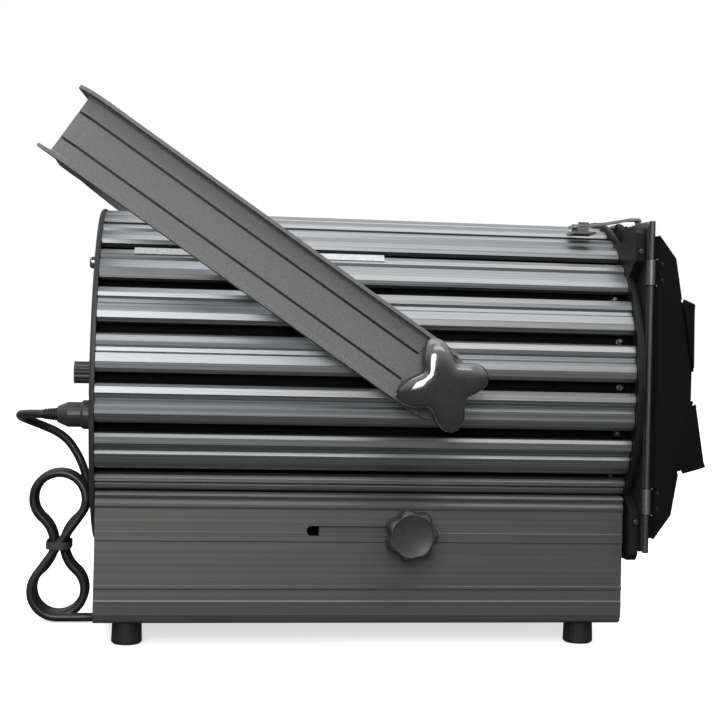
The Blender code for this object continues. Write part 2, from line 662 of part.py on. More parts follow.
def build_star_knob(side, word, plastic):
    layers = [(STAR_IN, 0.78), (STAR_IN + 5, 0.97), (STAR_IN + 13, 1.0), (STAR_IN + 19, 0.94),
              (STAR_IN + 23, 0.76), (STAR_OUT, 0.4)]
    rings = [[(x, side * depth, z) for x, z in star_ring(scale)] for depth, scale in layers]
    count = len(rings[0])
    verts = [p for ring in rings for p in ring]
    faces = [(r * count + i, r * count + (i + 1) % count, (r + 1) * count + (i + 1) % count,
              (r + 1) * count + i) for r in range(len(rings) - 1) for i in range(count)]
    faces += [tuple(range(count)), tuple(range((len(rings) - 1) * count, len(rings) * count))]
    knob = make_object(f"star_knob_{word}", verts, faces, plastic, smooth=True)
    web_out = YOKE_WEB_IN + YOKE_WEB + GAP
    hub = rod(f"star_hub_{word}", 1, (PIVOT_X, HEAD_Z), 12.0, *sorted((side * web_out, side * (STAR_IN + 3))),
              plastic, 24)
    stem = rod(f"star_stem_{word}", 1, (PIVOT_X, HEAD_Z), STEM_RADIUS,
               *sorted((side * (YOKE_WEB_IN - 0.2), side * (STAR_IN + 2))), plastic, 20)
    weld(knob, hub)
    weld(knob, stem)
    set_origin(knob, (PIVOT_X, 0, HEAD_Z))


def build_pivot(side, word, steel):
    """A boss on the inner tube that passes between two slats and carries the yoke arm."""
    lathe(f"pivot_boss_{word}", [(side * (TUBE_RADIUS + GAP), 4.0), (side * (SLAT_RADIUS + 0.3), 4.0),
                                 (side * (SLAT_RADIUS + 0.3), 17.0), (side * (YOKE_WEB_IN - GAP), 17.0)],
          1, (PIVOT_X, HEAD_Z), steel, 24, False)


# ---------------------------------------------------------------- focus

def lobed_circle(radius, lobes, depth, centre, count=56):
    points = []
    for i in range(count):
        t = 2 * pi * i / count
        r = radius - depth * (0.5 - 0.5 * cos(lobes * t)) ** 1.4
        points.append((centre[0] + r * cos(t), centre[1] + r * sin(t)))
    return points


def build_focus(plastic, dark, steel, aluminium, led):
    centre = (FOCUS_X, SLOT_Z)
    knob = prism("focus_knob", lobed_circle(FOCUS_RADIUS, 7, 3.2, centre), 1, -142.0, -124.0, plastic, True)
    weld(knob, rod("focus_neck", 1, centre, 9.0, -124.5, -114.0, plastic, 20))
    weld(knob, rod("focus_stem", 1, centre, 3.0, -115.0, -103.0, plastic, 12))
    set_origin(knob, (FOCUS_X, 0, SLOT_Z))
    strip = box("slot_cover", (SLOT_REAR + 6, -107.9, SLOT_Z - 10), (SLOT_FRONT + 76, -106.7, SLOT_Z + 10),
                aluminium)
    cut(strip, rod("cover_hole", 1, centre, 3.4, -110, -100, dark, 12))
    half = CARRIAGE_DEPTH / 2
    arm = [(-106.3, 94.0), (-106.3, 46.0), (16.0, 46.0), (16.0, 100.0), (-16.0, 100.0), (-16.0, 51.0),
           (-101.3, 51.0), (-101.3, 94.0)]
    carriage = box("carriage", (FOCUS_X - half, -58, 99.0), (FOCUS_X + half, 58, 121.0), aluminium)
    weld(carriage, prism("focus_bracket", arm, 0, FOCUS_X - half, FOCUS_X + half, steel))
    cut(carriage, rod("bracket_hole", 1, centre, 3.4, -112, -96, dark, 12))
    for side, word in ((-1, "near"), (1, "far")):
        spot = (side * GUIDE_Y, GUIDE_Z)
        cut(carriage, rod(f"guide_hole_{word}", 0, spot, GUIDE_RADIUS + GAP, FOCUS_X - 20, FOCUS_X + 20,
                          dark, 16))
        rod(f"guide_rod_{word}", 0, spot, GUIDE_RADIUS, HEAD_REAR + 0.4, HEAD_FRONT - LENS_THICK - 1, steel, 16)
    prism("heat_sink", fin_outline(FOCUS_X + half, 9, 5.0), 2, 121.3, 262.0, aluminium)
    face = FOCUS_X + half + GAP
    lathe("led_module", [(face, 27.0), (face + 3, 27.0), (face + 3, 16.0), (face + 4.5, 15.0)], 0,
          (0, HEAD_Z), led, 32, False)
    lathe("reflector", [(face + 5, 19.0), (face + 40, 46.0), (face + 40, 48.0), (face + 5, 21.0)], 0,
          (0, HEAD_Z), aluminium, 40)


def fin_outline(front, fins, plate):
    """A comb seen from above: a plate across Y at the front, and fins towards the rear."""
    half, depth, thick = 44.0, 52.0, 2.4
    outline = [(front, half), (front, -half)]
    pitch = (2 * half - thick) / (fins - 1)
    for i in range(fins):
        low = -half + i * pitch
        outline += [(front - depth, low), (front - depth, low + thick)]
        if i < fins - 1:
            outline += [(front - plate, low + thick), (front - plate, low + pitch)]
    return outline


# ---------------------------------------------------------------- rear fittings and cord

def build_rear(plastic, steel):
    face = HEAD_REAR - PLATE_THICK - GAP
    lathe("cable_gland", [(HEAD_REAR + 6, 7.4), (face, 7.4), (face, GLAND_RADIUS), (face - 9, GLAND_RADIUS),
                          (face - 11, GLAND_RADIUS - 1.6), (face - 21, GLAND_RADIUS - 1.6), (face - 29, 6.4)],
          0, (GLAND_Y, GLAND_Z), plastic, 24, False)
    centre = (DIMMER_Y, DIMMER_Z)
    knob = prism("dimmer_knob", lobed_circle(8.8, 14, 0.9, centre), 0, face - 17.0, face - 1.0, plastic)
    weld(knob, rod("dimmer_shaft", 0, centre, 3.0, face - 4.0, HEAD_REAR + 6, plastic, 16))
    set_origin(knob, (0, DIMMER_Y, DIMMER_Z))
    lathe("rear_screw", [(face, 4.5), (face - 3.2, 4.5), (face - 4.6, 3.2)], 0, (-74.0, 285.0), steel, 20,
          False)


def build_cord(rubber, plastic):
    cord_tube("cord_lead", LEAD_ROUTE, rubber)
    cord_tube("cord_tail", TAIL_ROUTE, rubber)
    prism("cord_hank", hank_outline(), 1, -HANK_HALF_Y, HANK_HALF_Y, rubber)
    lathe("plug", [(PLUG_REAR, 6.0), (PLUG_REAR + 16, 8.0), (PLUG_REAR + 22, 14.0), (PLUG_REAR + 46, 14.0),
                   (PLUG_REAR + 50, 12.0)], 0, (PLUG_Y, 14.0), plastic, 20, False)


def main():
    for obj in list(bpy.data.objects):
        bpy.data.objects.remove(obj, do_unlink=True)
    slats = material("slat_metal", (0.12, 0.13, 0.13), 0.35, 0.7)
    paint = material("grey_paint", (0.085, 0.085, 0.08), 0.5, 0.2)
    yoke_paint = material("yoke_paint", (0.17, 0.17, 0.16), 0.55, 0.2)
    dark = material("black_paint", (0.012, 0.012, 0.012), 0.6)
    plastic = material("black_plastic", (0.015, 0.015, 0.015), 0.25)
    bright = material("bright_metal", (0.35, 0.35, 0.34), 0.35, 0.9)
    steel = material("steel", (0.5, 0.5, 0.5), 0.3, 1.0)
    aluminium = material("aluminium", (0.6, 0.6, 0.6), 0.35, 1.0)
    glass = material("glass", (0.8, 0.85, 0.85), 0.05)
    rubber = material("rubber", (0.02, 0.02, 0.02), 0.7)
    led = material("led_phosphor", (0.8, 0.65, 0.1), 0.5)
    build_slats(slats)
    build_head(paint, dark, glass)
    build_base(paint, plastic, rubber)
    hinge_x = build_frame(build_ring(dark) + FRAME_CLEAR, paint)
    build_doors(hinge_x, dark)
    build_latch(hinge_x, bright, steel)
    build_yoke(yoke_paint, dark)
    for side, word in ((-1, "near"), (1, "far")):
        build_star_knob(side, word, plastic)
        build_pivot(side, word, steel)
    build_focus(plastic, dark, steel, aluminium, led)
    build_rear(plastic, steel)
    build_cord(rubber, plastic)
    for obj in bpy.data.objects:
        if obj.parent is None:
            obj.location.x -= CENTRE_X * MM


main()
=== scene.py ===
"""Looks of the fresnel spotlight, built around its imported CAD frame.

Places are in millimetres, in part.py's own layout: the head's middle line is at Y = 0 and Z = 199, and the
whole lamp is then moved CENTRE_X to the rear. place() turns them into the frame's metres.
"""
from math import asin, cos, pi, radians, sin

import bpy
from mathutils import Matrix, Vector

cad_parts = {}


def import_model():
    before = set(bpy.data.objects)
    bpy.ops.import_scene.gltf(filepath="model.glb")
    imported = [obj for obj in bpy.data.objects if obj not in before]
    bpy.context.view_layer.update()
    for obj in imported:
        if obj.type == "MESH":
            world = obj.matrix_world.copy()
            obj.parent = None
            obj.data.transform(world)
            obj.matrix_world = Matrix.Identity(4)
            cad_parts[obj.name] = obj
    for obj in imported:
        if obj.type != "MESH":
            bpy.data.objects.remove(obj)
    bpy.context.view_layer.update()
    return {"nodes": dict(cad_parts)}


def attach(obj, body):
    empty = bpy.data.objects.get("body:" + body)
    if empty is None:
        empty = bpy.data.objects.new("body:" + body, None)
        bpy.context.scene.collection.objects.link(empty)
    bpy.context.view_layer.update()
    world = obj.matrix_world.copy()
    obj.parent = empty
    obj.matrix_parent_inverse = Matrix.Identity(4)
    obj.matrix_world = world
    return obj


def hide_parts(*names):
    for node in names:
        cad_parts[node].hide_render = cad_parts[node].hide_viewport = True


MM = 0.001
CENTRE_X = 4.6
HEAD_Z = 199.0
SLAT_PITCH = 360.0 / 22
PIVOT_X = 30.0
STAR_TURN = 14.0
STAR_TIP, STAR_VALLEY = 34.5, 19.5
STAR_CROWN = 27.0               # the knob's smaller rings blend towards a circle of this radius
STAR_FACE = 171.5               # the rim ends and the dome starts this far from the middle plane
STAR_DOME = 11.3
FOCUS = (16.0, 87.0)            # the focus knob's X and Z
FOCUS_LOBES = 7
LATCH_PIN = (158.0, 325.0)      # X and Z
LATCH_SIDES = (-74.0, -62.0)    # Y of the bar's two sides
TIE_Z = 61.5                    # height of the cord tie's middle
YOKE_WEB_IN = 142.0             # half the clear width between the arms
YOKE_BEND = 14.0
YOKE_REACH = 321.5              # from the pivot to the crossbar's inner face
YOKE_FLAT = 20.0                # the crossbar's middle is flat this far to each side
YOKE_ANGLE = 146.0              # of the near arm, from +X towards +Z
YOKE_TWIST = 2.6                # the far arm stands this much steeper
GROOVE_SHADE_START = 16.0             # the painted groove shade begins this far from the pivot, under the knob
FRAME_Z = 200.0
HINGE_X = 197.15
HINGE_OUT = 128.0
SLEEVE_GAP = 10.1               # the rolled edge stops this far from the middle of a sleeve
LEAF_FRONT = 6.0                # the wings' pins lie this far in front of the leaf's rod
WING_START, WING_TIP = (67.8, 67.0), (102.6, 12.6)     # a wing's pin, as away from and along the hinge
CORD_RADIUS = 3.5
LEAD_ROUTE = (                  # down to the hank's first strand
    (-251.3, -40.0, 168.0), (-255.1, -40.0, 168.0), (-265.2, -38.0, 167.9), (-273.8, -32.3, 167.5),
    (-279.5, -23.7, 166.7), (-281.5, -13.6, 165.2), (-279.5, -3.5, 162.8), (-273.8, 5.1, 159.8),
    (-265.2, 10.8, 156.0), (-255.1, 12.8, 151.3), (-246.0, 13.0, 144.5), (-238.8, 12.5, 134.6),
    (-234.2, 11.9, 125.6), (-231.1, 12.1, 116.5), (-229.5, 11.7, 107.2), (-229.0, 10.8, 98.3),
)
TAIL_ROUTE = (                  # from the hank's lowest point to the plug
    (-250.0, -10.8, 3.8), (-240.0, -10.8, 3.8), (-231.0, -10.8, 3.8), (-221.0, -9.9, 3.8),
    (-209.0, -5.8, 3.8), (-197.0, 3.6, 3.8), (-185.0, 20.0, 3.8), (-175.0, 43.0, 3.8),
    (-168.0, 70.0, 3.8), (-165.0, 98.0, 3.8), (-162.5, 116.0, 4.3), (-156.5, 132.5, 5.8),
    (-147.0, 146.0, 8.6), (-136.0, 154.3, 11.2), (-126.5, 158.6, 13.1), (-118.8, 160.0, 14.0),
)
HANK_X = -250.0
HANK_LOW, HANK_HIGH = 24.8, 98.3        # heights of the middles of the hank's lower and upper loop
HANK_LOOP = 21.0                        # radius of both loops
HANK_WAIST = 27.3                       # radius of the bends that draw the strands in between them
HANK_SIDE = 10.8                        # the outermost strands lie this far from the middle plane
HANK_TURNS = 3
STRAND_PITCH = 7.2
CAMERA_AT = (-0.1606, -1.155, 0.216)
CAMERA_YAW = 7.28
CAMERA_ROLL = 1.3
CAMERA_LENS = 70.1
SKY_STEPS = ((0.0, 0.11), (0.1, 0.18), (0.35, 0.5), (0.65, 0.95), (1.0, 1.0))     # height, brightness
SKY_STRENGTH = 1.25
FLOOR_GLOW = 0.65
FINE_GRAIN = (600.0, 600.0, 600.0)      # noise cells per metre along X, Y and Z
BRUSHED = (60.0, 900.0, 900.0)


def place(x, y, z):
    return Vector((x - CENTRE_X, y, z)) * MM


# ---------------------------------------------------------------- camera, light and floor

def build_camera():
    data = bpy.data.cameras.new("camera")
    data.lens = CAMERA_LENS
    data.sensor_width = 36.0
    data.clip_start = 0.01
    camera = bpy.data.objects.new("camera", data)
    bpy.context.scene.collection.objects.link(camera)
    aim = Matrix.Rotation(radians(-CAMERA_YAW), 4, "Z") @ Matrix.Rotation(pi / 2, 4, "X")
    roll = Matrix.Rotation(radians(CAMERA_ROLL), 4, "Z")
    camera.matrix_world = Matrix.Translation(CAMERA_AT) @ aim @ roll
    bpy.context.scene.camera = camera


def area_light(name, at, towards, size, power, colour=(1.0, 1.0, 1.0)):
    data = bpy.data.lights.new(name, "AREA")
    data.shape = "RECTANGLE"
    data.size, data.size_y = size
    data.energy = power
    data.color = colour
    light = bpy.data.objects.new(name, data)
    light.location = at
    direction = Vector(towards) - Vector(at)
    light.rotation_euler = direction.to_track_quat("-Z", "Y").to_euler()
    bpy.context.scene.collection.objects.link(light)


def build_studio():
    """A dim studio under a large softbox; the backdrop itself is seen as white."""
    world = bpy.data.worlds.new("studio")
    world.use_nodes = True
    nodes, links = world.node_tree.nodes, world.node_tree.links
    where = nodes.new("ShaderNodeTexCoord")
    split = nodes.new("ShaderNodeSeparateXYZ")
    ramp = nodes.new("ShaderNodeValToRGB")
    links.new(where.outputs["Generated"], split.inputs["Vector"])
    links.new(split.outputs["Z"], ramp.inputs["Fac"])
    for _ in range(len(SKY_STEPS) - 2):
        ramp.color_ramp.elements.new(0.5)
    for element, (height, level) in zip(ramp.color_ramp.elements, SKY_STEPS):
        element.position = height
        element.color = (level, level, level, 1.0)
    sky = nodes["Background"]
    sky.inputs["Strength"].default_value = SKY_STRENGTH
    links.new(ramp.outputs["Color"], sky.inputs["Color"])
    backdrop = nodes.new("ShaderNodeBackground")
    backdrop.inputs["Color"].default_value = (1.0, 1.0, 1.0, 1.0)
    ray = nodes.new("ShaderNodeLightPath")
    choose = nodes.new("ShaderNodeMixShader")
    links.new(ray.outputs["Is Camera Ray"], choose.inputs[0])
    links.new(sky.outputs[0], choose.inputs[1])
    links.new(backdrop.outputs[0], choose.inputs[2])
    links.new(choose.outputs[0], nodes["World Output"].inputs["Surface"])
    bpy.context.scene.world = world
    bpy.context.scene.view_settings.view_transform = "Standard"
    area_light("top_softbox", (-0.1, -0.2, 1.6), (0.0, 0.0, 0.2), (1.6, 1.0), 7.0, (0.82, 0.93, 1.0))
    area_light("key_softbox", (0.3, -1.2, 1.5), (0.0, 0.0, 0.2), (1.3, 0.5), 5.5)
    area_light("front_softbox", (-0.5, -2.1, 0.8), (0.0, 0.0, 0.2), (0.8, 0.9), 24.0)
    bpy.ops.mesh.primitive_plane_add(size=12.0, location=(0, 0, -0.0005))
    floor = bpy.context.object
    floor.name = "floor"
    pale = plain("floor_white", (0.85, 0.85, 0.85), 0.9, specular=0.0)
    shader = pale.node_tree.nodes["Principled BSDF"]
    shader.inputs["Emission Color"].default_value = (1.0, 1.0, 1.0, 1.0)
    shader.inputs["Emission Strength"].default_value = FLOOR_GLOW
    floor.data.materials.append(pale)
    floor.visible_glossy = False
    floor.visible_diffuse = False


# ---------------------------------------------------------------- materials

def plain(name, colour, roughness, metallic=0.0, specular=0.5, coat=0.0):
    made = bpy.data.materials.new(name)
    made.use_nodes = True
    shader = made.node_tree.nodes["Principled BSDF"]
    shader.inputs["Base Color"].default_value = (*colour, 1.0)
    shader.inputs["Roughness"].default_value = roughness
    shader.inputs["Metallic"].default_value = metallic
    shader.inputs["Specular IOR Level"].default_value = specular
    shader.inputs["Coat Weight"].default_value = coat
    return made


def noise(made, scale, detail=4.0):
    """A noise texture over the object's own space, stretched by scale along X, Y and Z."""
    nodes, links = made.node_tree.nodes, made.node_tree.links
    where = nodes.new("ShaderNodeTexCoord")
    mapping = nodes.new("ShaderNodeMapping")
    mapping.inputs["Scale"].default_value = scale
    texture = nodes.new("ShaderNodeTexNoise")
    texture.inputs["Scale"].default_value = 1.0
    texture.inputs["Detail"].default_value = detail
    links.new(where.outputs["Object"], mapping.inputs["Vector"])
    links.new(mapping.outputs["Vector"], texture.inputs["Vector"])
    return texture


def ranged(made, texture, low, high, socket):
    """Feed a shader socket from the texture, between low and high."""
    spread = made.node_tree.nodes.new("ShaderNodeMapRange")
    spread.inputs["From Min"].default_value = 0.3
    spread.inputs["From Max"].default_value = 0.7
    spread.inputs["To Min"].default_value = low
    spread.inputs["To Max"].default_value = high
    made.node_tree.links.new(texture.outputs["Fac"], spread.inputs["Value"])
    shader = made.node_tree.nodes["Principled BSDF"]
    made.node_tree.links.new(spread.outputs["Result"], shader.inputs[socket])


def bumped(made, texture, strength, distance):
    bump = made.node_tree.nodes.new("ShaderNodeBump")
    bump.inputs["Strength"].default_value = strength
    bump.inputs["Distance"].default_value = distance
    made.node_tree.links.new(texture.outputs["Fac"], bump.inputs["Height"])
    shader = made.node_tree.nodes["Principled BSDF"]
    made.node_tree.links.new(bump.outputs["Normal"], shader.inputs["Normal"])


def tinted(made, texture, dark, light):
    """Mix the base colour between two shades with the texture."""
    nodes, links = made.node_tree.nodes, made.node_tree.links
    ramp = nodes.new("ShaderNodeValToRGB")
    ramp.color_ramp.elements[0].position = 0.35
    ramp.color_ramp.elements[1].position = 0.65
    ramp.color_ramp.elements[0].color = (*dark, 1.0)
    ramp.color_ramp.elements[1].color = (*light, 1.0)
    links.new(texture.outputs["Fac"], ramp.inputs["Fac"])
    links.new(ramp.outputs["Color"], nodes["Principled BSDF"].inputs["Base Color"])


def slat_metal():
    made = plain("slat_anodised", (0.25, 0.255, 0.26), 0.34, 0.95)
    lines = noise(made, (0.6, 900.0, 900.0), 3.0)
    tinted(made, lines, (0.19, 0.195, 0.2), (0.29, 0.3, 0.305))
    ranged(made, lines, 0.36, 0.5, "Roughness")
    return made


def extruded_paint(name, dark, light, roughness):
    made = plain(name, light, roughness, 0.55, specular=0.35)
    lines = noise(made, (0.8, 420.0, 420.0), 3.0)
    tinted(made, lines, dark, light)
    bumped(made, lines, 0.05, 0.0004)
    return made


def grained(name, colour, roughness, metallic=0.0, specular=0.5, coat=0.0, grain=FINE_GRAIN, relief=0.08):
    """A surface whose shade, gloss and height vary a little with one noise."""
    made = plain(name, colour, roughness, metallic, specular, coat)
    texture = noise(made, grain, 3.0)
    tinted(made, texture, tuple(0.86 * c for c in colour), tuple(1.14 * c for c in colour))
    ranged(made, texture, roughness - 0.05, roughness + 0.05, "Roughness")
    bumped(made, texture, relief, 0.0003)
    return made


def build_materials():
    return {
        "slat": slat_metal(),
        "base": extruded_paint("base_paint", (0.095, 0.097, 0.093), (0.12, 0.123, 0.118), 0.42),
        "yoke": grained("yoke_paint", (0.138, 0.141, 0.136), 0.55, specular=0.35, relief=0.25),
        "plate": grained("rear_plate_paint", (0.035, 0.036, 0.034), 0.5, specular=0.3, relief=0.2),
        "black": grained("matt_black", (0.003, 0.003, 0.003), 0.75, specular=0.06, relief=0.15),
        "tube": grained("tube_black", (0.004, 0.004, 0.004), 0.8, specular=0.05, relief=0.15),
        "ring": grained("ring_black", (0.008, 0.008, 0.008), 0.5, specular=0.2, relief=0.15),
        "frame": grained("frame_grey", (0.075, 0.077, 0.075), 0.38, 0.7),
        "bright": grained("bright_metal", (0.38, 0.38, 0.37), 0.35, 0.9, grain=BRUSHED),
        "steel": grained("screw_steel", (0.3, 0.3, 0.3), 0.3, 1.0, grain=BRUSHED),
        "aluminium": grained("bare_aluminium", (0.6, 0.6, 0.6), 0.35, 1.0, grain=BRUSHED),
        "star": grained("star_plastic", (0.022, 0.022, 0.021), 0.14, specular=1.0, coat=1.0, relief=0.02),
        "plastic": grained("dark_plastic", (0.03, 0.03, 0.029), 0.42),
        "rubber": grained("black_rubber", (0.012, 0.012, 0.012), 0.6, specular=0.3, relief=0.2),
        "cord": grained("cord_jacket", (0.012, 0.012, 0.012), 0.38, relief=0.1),
        "glass": lens_glass(),
        "led": grained("led_phosphor", (0.8, 0.62, 0.1), 0.5),
        "screw": grained("small_screws", (0.1, 0.1, 0.1), 0.4, 0.9),
        "sleeve": grained("sleeve_grey", (0.15, 0.15, 0.146), 0.4, 0.8),
        "tie": grained("tie_grey", (0.035, 0.035, 0.034), 0.6),
        "label": grained("label_white", (0.46, 0.47, 0.47), 0.5, relief=0.04),
    }


def lens_glass():
    made = plain("lens_glass", (0.9, 0.95, 0.95), 0.08)
    made.node_tree.nodes["Principled BSDF"].inputs["Transmission Weight"].default_value = 0.85
    return made


LOOKS = (
    ("slat_", "slat"), ("slot_cover", "base"), ("base_", "base"), ("yoke", "yoke"), ("inner_tube", "tube"),
    ("rear_plate", "plate"), ("front_ring", "ring"), ("door_frame", "frame"), ("leaf_", "black"),
    ("wing_", "black"), ("latch_strip", "bright"), ("latch_bracket", "steel"), ("star_", "star"),
    ("focus_knob", "plastic"), ("dimmer_knob", "plastic"), ("cable_gland", "plastic"), ("plug", "plastic"),
    ("rear_screw", "steel"), ("foot_", "rubber"), ("pivot_boss", "steel"), ("lens", "glass"),
    ("led_module", "led"), ("heat_sink", "aluminium"), ("carriage", "aluminium"), ("reflector", "aluminium"),
    ("guide_rod", "steel"), ("power_supply", "black"), ("cord_", "cord"),
)


def paint_frame(nodes, looks):
    for name, obj in nodes.items():
        look = next(key for start, key in LOOKS if name.startswith(start))
        obj.data.materials.clear()
        obj.data.materials.append(looks[look])


# ---------------------------------------------------------------- shapes

def make_object(name, verts, faces, look, smooth=True):
    mesh = bpy.data.meshes.new(name)
    mesh.from_pydata([tuple(place(*v)) for v in verts], [], faces)
    mesh.materials.append(look)
    obj = bpy.data.objects.new(name, mesh)
    bpy.context.scene.collection.objects.link(obj)
    if smooth:
        mesh.shade_smooth()
        mesh.set_sharp_from_angle(angle=radians(40))
    return obj


def axes_for(direction):
    along = Vector(direction).normalized()
    side = along.orthogonal().normalized()
    return along, side, along.cross(side)


def round_rings(start, direction, profile, count):
    """A ring of count corners for each (distance along direction, radius), round the line from start."""
    along, u, v = axes_for(direction)
    verts = []
    for reach, radius in profile:
        for i in range(count):
            t = 2 * pi * i / count
            verts.append(Vector(start) + along * reach + (u * cos(t) + v * sin(t)) * radius)
    return verts


def wall_faces(rows, count, closed=False):
    """Quads between neighbouring rings of count corners; closed also joins the last ring to the first."""
    faces = []
    for r in range(rows if closed else rows - 1):
        this, following = r * count, (r + 1) % rows * count
        for i in range(count):
            j = (i + 1) % count
            faces.append((this + i, this + j, following + j, following + i))
    return faces


def turned(name, start, direction, profile, look, count=24):
    """A profile of (distance along direction, radius) turned round a line, with flat ends."""
    rows = len(profile)
    faces = wall_faces(rows, count)
    faces += [tuple(reversed(range(count))), tuple(range((rows - 1) * count, rows * count))]
    return make_object(name, round_rings(start, direction, profile, count), faces, look)


def sleeve(name, start, direction, length, outer, inner, look, count=24):
    """A tube with a wall, open at both ends."""
    rings = [(0.0, inner), (0.0, outer), (length, outer), (length, inner)]
    verts = round_rings(start, direction, rings, count)
    return make_object(name, verts, wall_faces(len(rings), count, True), look)


def socket_screw(name, at, direction, radius, height, look):
    """A screw head with rounded rim and a hollow in its middle, standing on at."""
    profile = [(0.0, radius), (0.7 * height, radius), (height, 0.8 * radius), (height, 0.45 * radius),
               (0.45 * height, 0.4 * radius)]
    return turned(name, at, direction, profile, look, 20)


def smooth_curve(points, per_span):
    """A Catmull-Rom curve through the points."""
    route = [Vector(p) for p in points]
    ends = [route[0] * 2 - route[1]] + route + [route[-1] * 2 - route[-2]]
    line = []
    for i in range(len(route) - 1):
        a, b, c, d = ends[i:i + 4]
        for step in range(per_span):
            t = step / per_span
            line.append(0.5 * (2 * b + (c - a) * t + (2 * a - 5 * b + 4 * c - d) * t ** 2
                               + (3 * b - a - 3 * c + d) * t ** 3))
    return line + [route[-1]]


def arc(centre, radius, start, end, count):
    steps = [start + (end - start) * i / (count - 1) for i in range(count)]
    return [(centre[0] + radius * cos(t), centre[1] + radius * sin(t)) for t in steps]


# ---------------------------------------------------------------- cord

def strand_down():
    """The front side of one turn, from the middle of its upper loop down to its lowest point."""
    rise = (HANK_HIGH - HANK_LOW) / 2
    middle = (HANK_HIGH + HANK_LOW) / 2
    lean = asin(rise / (HANK_LOOP + HANK_WAIST))
    reach = (HANK_LOOP + HANK_WAIST) * cos(lean)
    line = arc((0.0, HANK_HIGH), HANK_LOOP, 0.0, -lean, 8)
    line += arc((reach, middle), HANK_WAIST, pi - lean, pi + lean, 18)[1:-1]
    line += arc((0.0, HANK_LOW), HANK_LOOP, lean, -pi / 2, 20)
    return line


def hank_route():
    """The turns beside each other, then a last strand that crosses the waist towards the base."""
    down = strand_down()
    up = [(-reach, z) for reach, z in reversed(down[:-1])]
    over = arc((0.0, HANK_HIGH), HANK_LOOP, pi, 0.0, 23)[1:-1]
    points = []
    for k in range(HANK_TURNS):
        y = HANK_SIDE - STRAND_PITCH * k
        points += [(reach, y, z) for reach, z in down + up]
        points += [(reach, y - STRAND_PITCH * (i + 1) / 22, z) for i, (reach, z) in enumerate(over)]
    slant = asin(2 * HANK_LOOP / (HANK_HIGH - HANK_LOW))
    last = arc((0.0, HANK_HIGH), HANK_LOOP, 0.0, -slant, 6)
    end = arc((0.0, HANK_LOW), HANK_LOOP, pi - slant, 3 * pi / 2, 18)
    span = [(end[0][k] - last[-1][k]) / 20 for k in range(2)]
    last += [(last[-1][0] + span[0] * i, last[-1][1] + span[1] * i) for i in range(1, 20)] + end
    points += [(reach, -HANK_SIDE, z) for reach, z in last]
    return [(HANK_X + reach, y, z) for reach, y, z in points]


def build_cord(looks):
    hank = [Vector(p) for p in hank_route()]
    line = smooth_curve(LEAD_ROUTE, 5) + hank[1:-1] + smooth_curve(TAIL_ROUTE, 5)
    line = [place(*spot) for spot in line]
    data = bpy.data.curves.new("mains_cord", "CURVE")
    data.dimensions = "3D"
    data.bevel_depth = CORD_RADIUS * MM
    data.bevel_resolution = 5
    data.use_fill_caps = True
    spline = data.splines.new("POLY")
    spline.points.add(len(line) - 1)
    for point, spot in zip(spline.points, line):
        point.co = (*spot, 1.0)
    data.materials.append(looks["cord"])
    cord = bpy.data.objects.new("mains_cord", data)
    bpy.context.scene.collection.objects.link(cord)
    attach(cord, "housing")
    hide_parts("cord_lead", "cord_hank", "cord_tail")


# ---------------------------------------------------------------- head

def near_far(name):
    return ((-1, f"{name}_near"), (1, f"{name}_far"))


def polar(angle, radius, side=-1):
    """A point's Y and Z on the head, angle degrees above the level of its middle."""
    return side * radius * cos(radians(angle)), HEAD_Z + radius * sin(radians(angle))


def prism(name, section, start, end, look):
    """A section in Y and Z, extruded along X."""
    count = len(section)
    verts = [(start, y, z) for y, z in section] + [(end, y, z) for y, z in section]
    faces = [tuple(reversed(range(count))), tuple(range(count, 2 * count))]
    faces += [(i, (i + 1) % count, (i + 1) % count + count, i + count) for i in range(count)]
    return make_object(name, verts, faces, look)


def arc_strip(name, low, high, start, end, inner, outer, look):
    """A thin plate round the near side of the head, between two angles and two places along X."""
    steps = [low + (high - low) * i / 6 for i in range(7)]
    section = [polar(a, outer) for a in steps] + [polar(a, inner) for a in reversed(steps)]
    return prism(name, section, start, end, look)


def build_head_details(looks):
    """A blank strip along one slat, and screws in the gaps between the slats at the front."""
    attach(arc_strip("blank_strip", 43.9, 46.8, -192.0, -3.0, 133.1, 133.5, looks["label"]), "housing")
    head = [(0.0, 2.6), (3.0, 2.6), (3.2, 2.1), (5.0, 2.0), (5.5, 1.4)]
    for side, name in near_far("gap_screw"):
        for i in range(6):
            angle = (i - 2) * SLAT_PITCH
            y, z = polar(angle, 121.2, side)
            outwards = (0.0, side * cos(radians(angle)), sin(radians(angle)))
            screw = turned(f"{name}_{i}", (176.0, y, z), outwards, head, looks["screw"], 20)
            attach(screw, "housing")


# ---------------------------------------------------------------- yoke

def yoke_line(name, across, low, high, half_width, look):
    """A strip along the channel, between two heights above the web's inner face."""
    left, right = across - half_width, across + half_width
    rows = []
    for n, offset in ((left, low), (right, low), (right, high), (left, high)):
        rows.append([yoke_point(y, reach, n) for y, reach in yoke_stations(offset)])
    stations = len(rows[0])
    verts = [p for row in rows for p in row]
    faces = []
    for r in range(4):
        this, following = r * stations, (r + 1) % 4 * stations
        faces += [(this + i, this + i + 1, following + i + 1, following + i) for i in range(stations - 1)]
    faces += [tuple(r * stations for r in range(4)), tuple((r + 1) * stations - 1 for r in range(4))]
    return make_object(name, verts, faces, look)


def yoke_stations(offset):
    """The bent channel's line as (Y, distance from the pivot), offset outwards; it starts under the knob."""
    corner = arc((YOKE_WEB_IN - YOKE_BEND, YOKE_REACH - YOKE_BEND), YOKE_BEND + offset, 0.0, 0.5 * pi, 7)
    right = [(YOKE_WEB_IN + offset, GROOVE_SHADE_START)] + corner + [(YOKE_FLAT, YOKE_REACH + offset)]
    return [(-y, r) for y, r in right] + [(y, r) for y, r in reversed(right)]


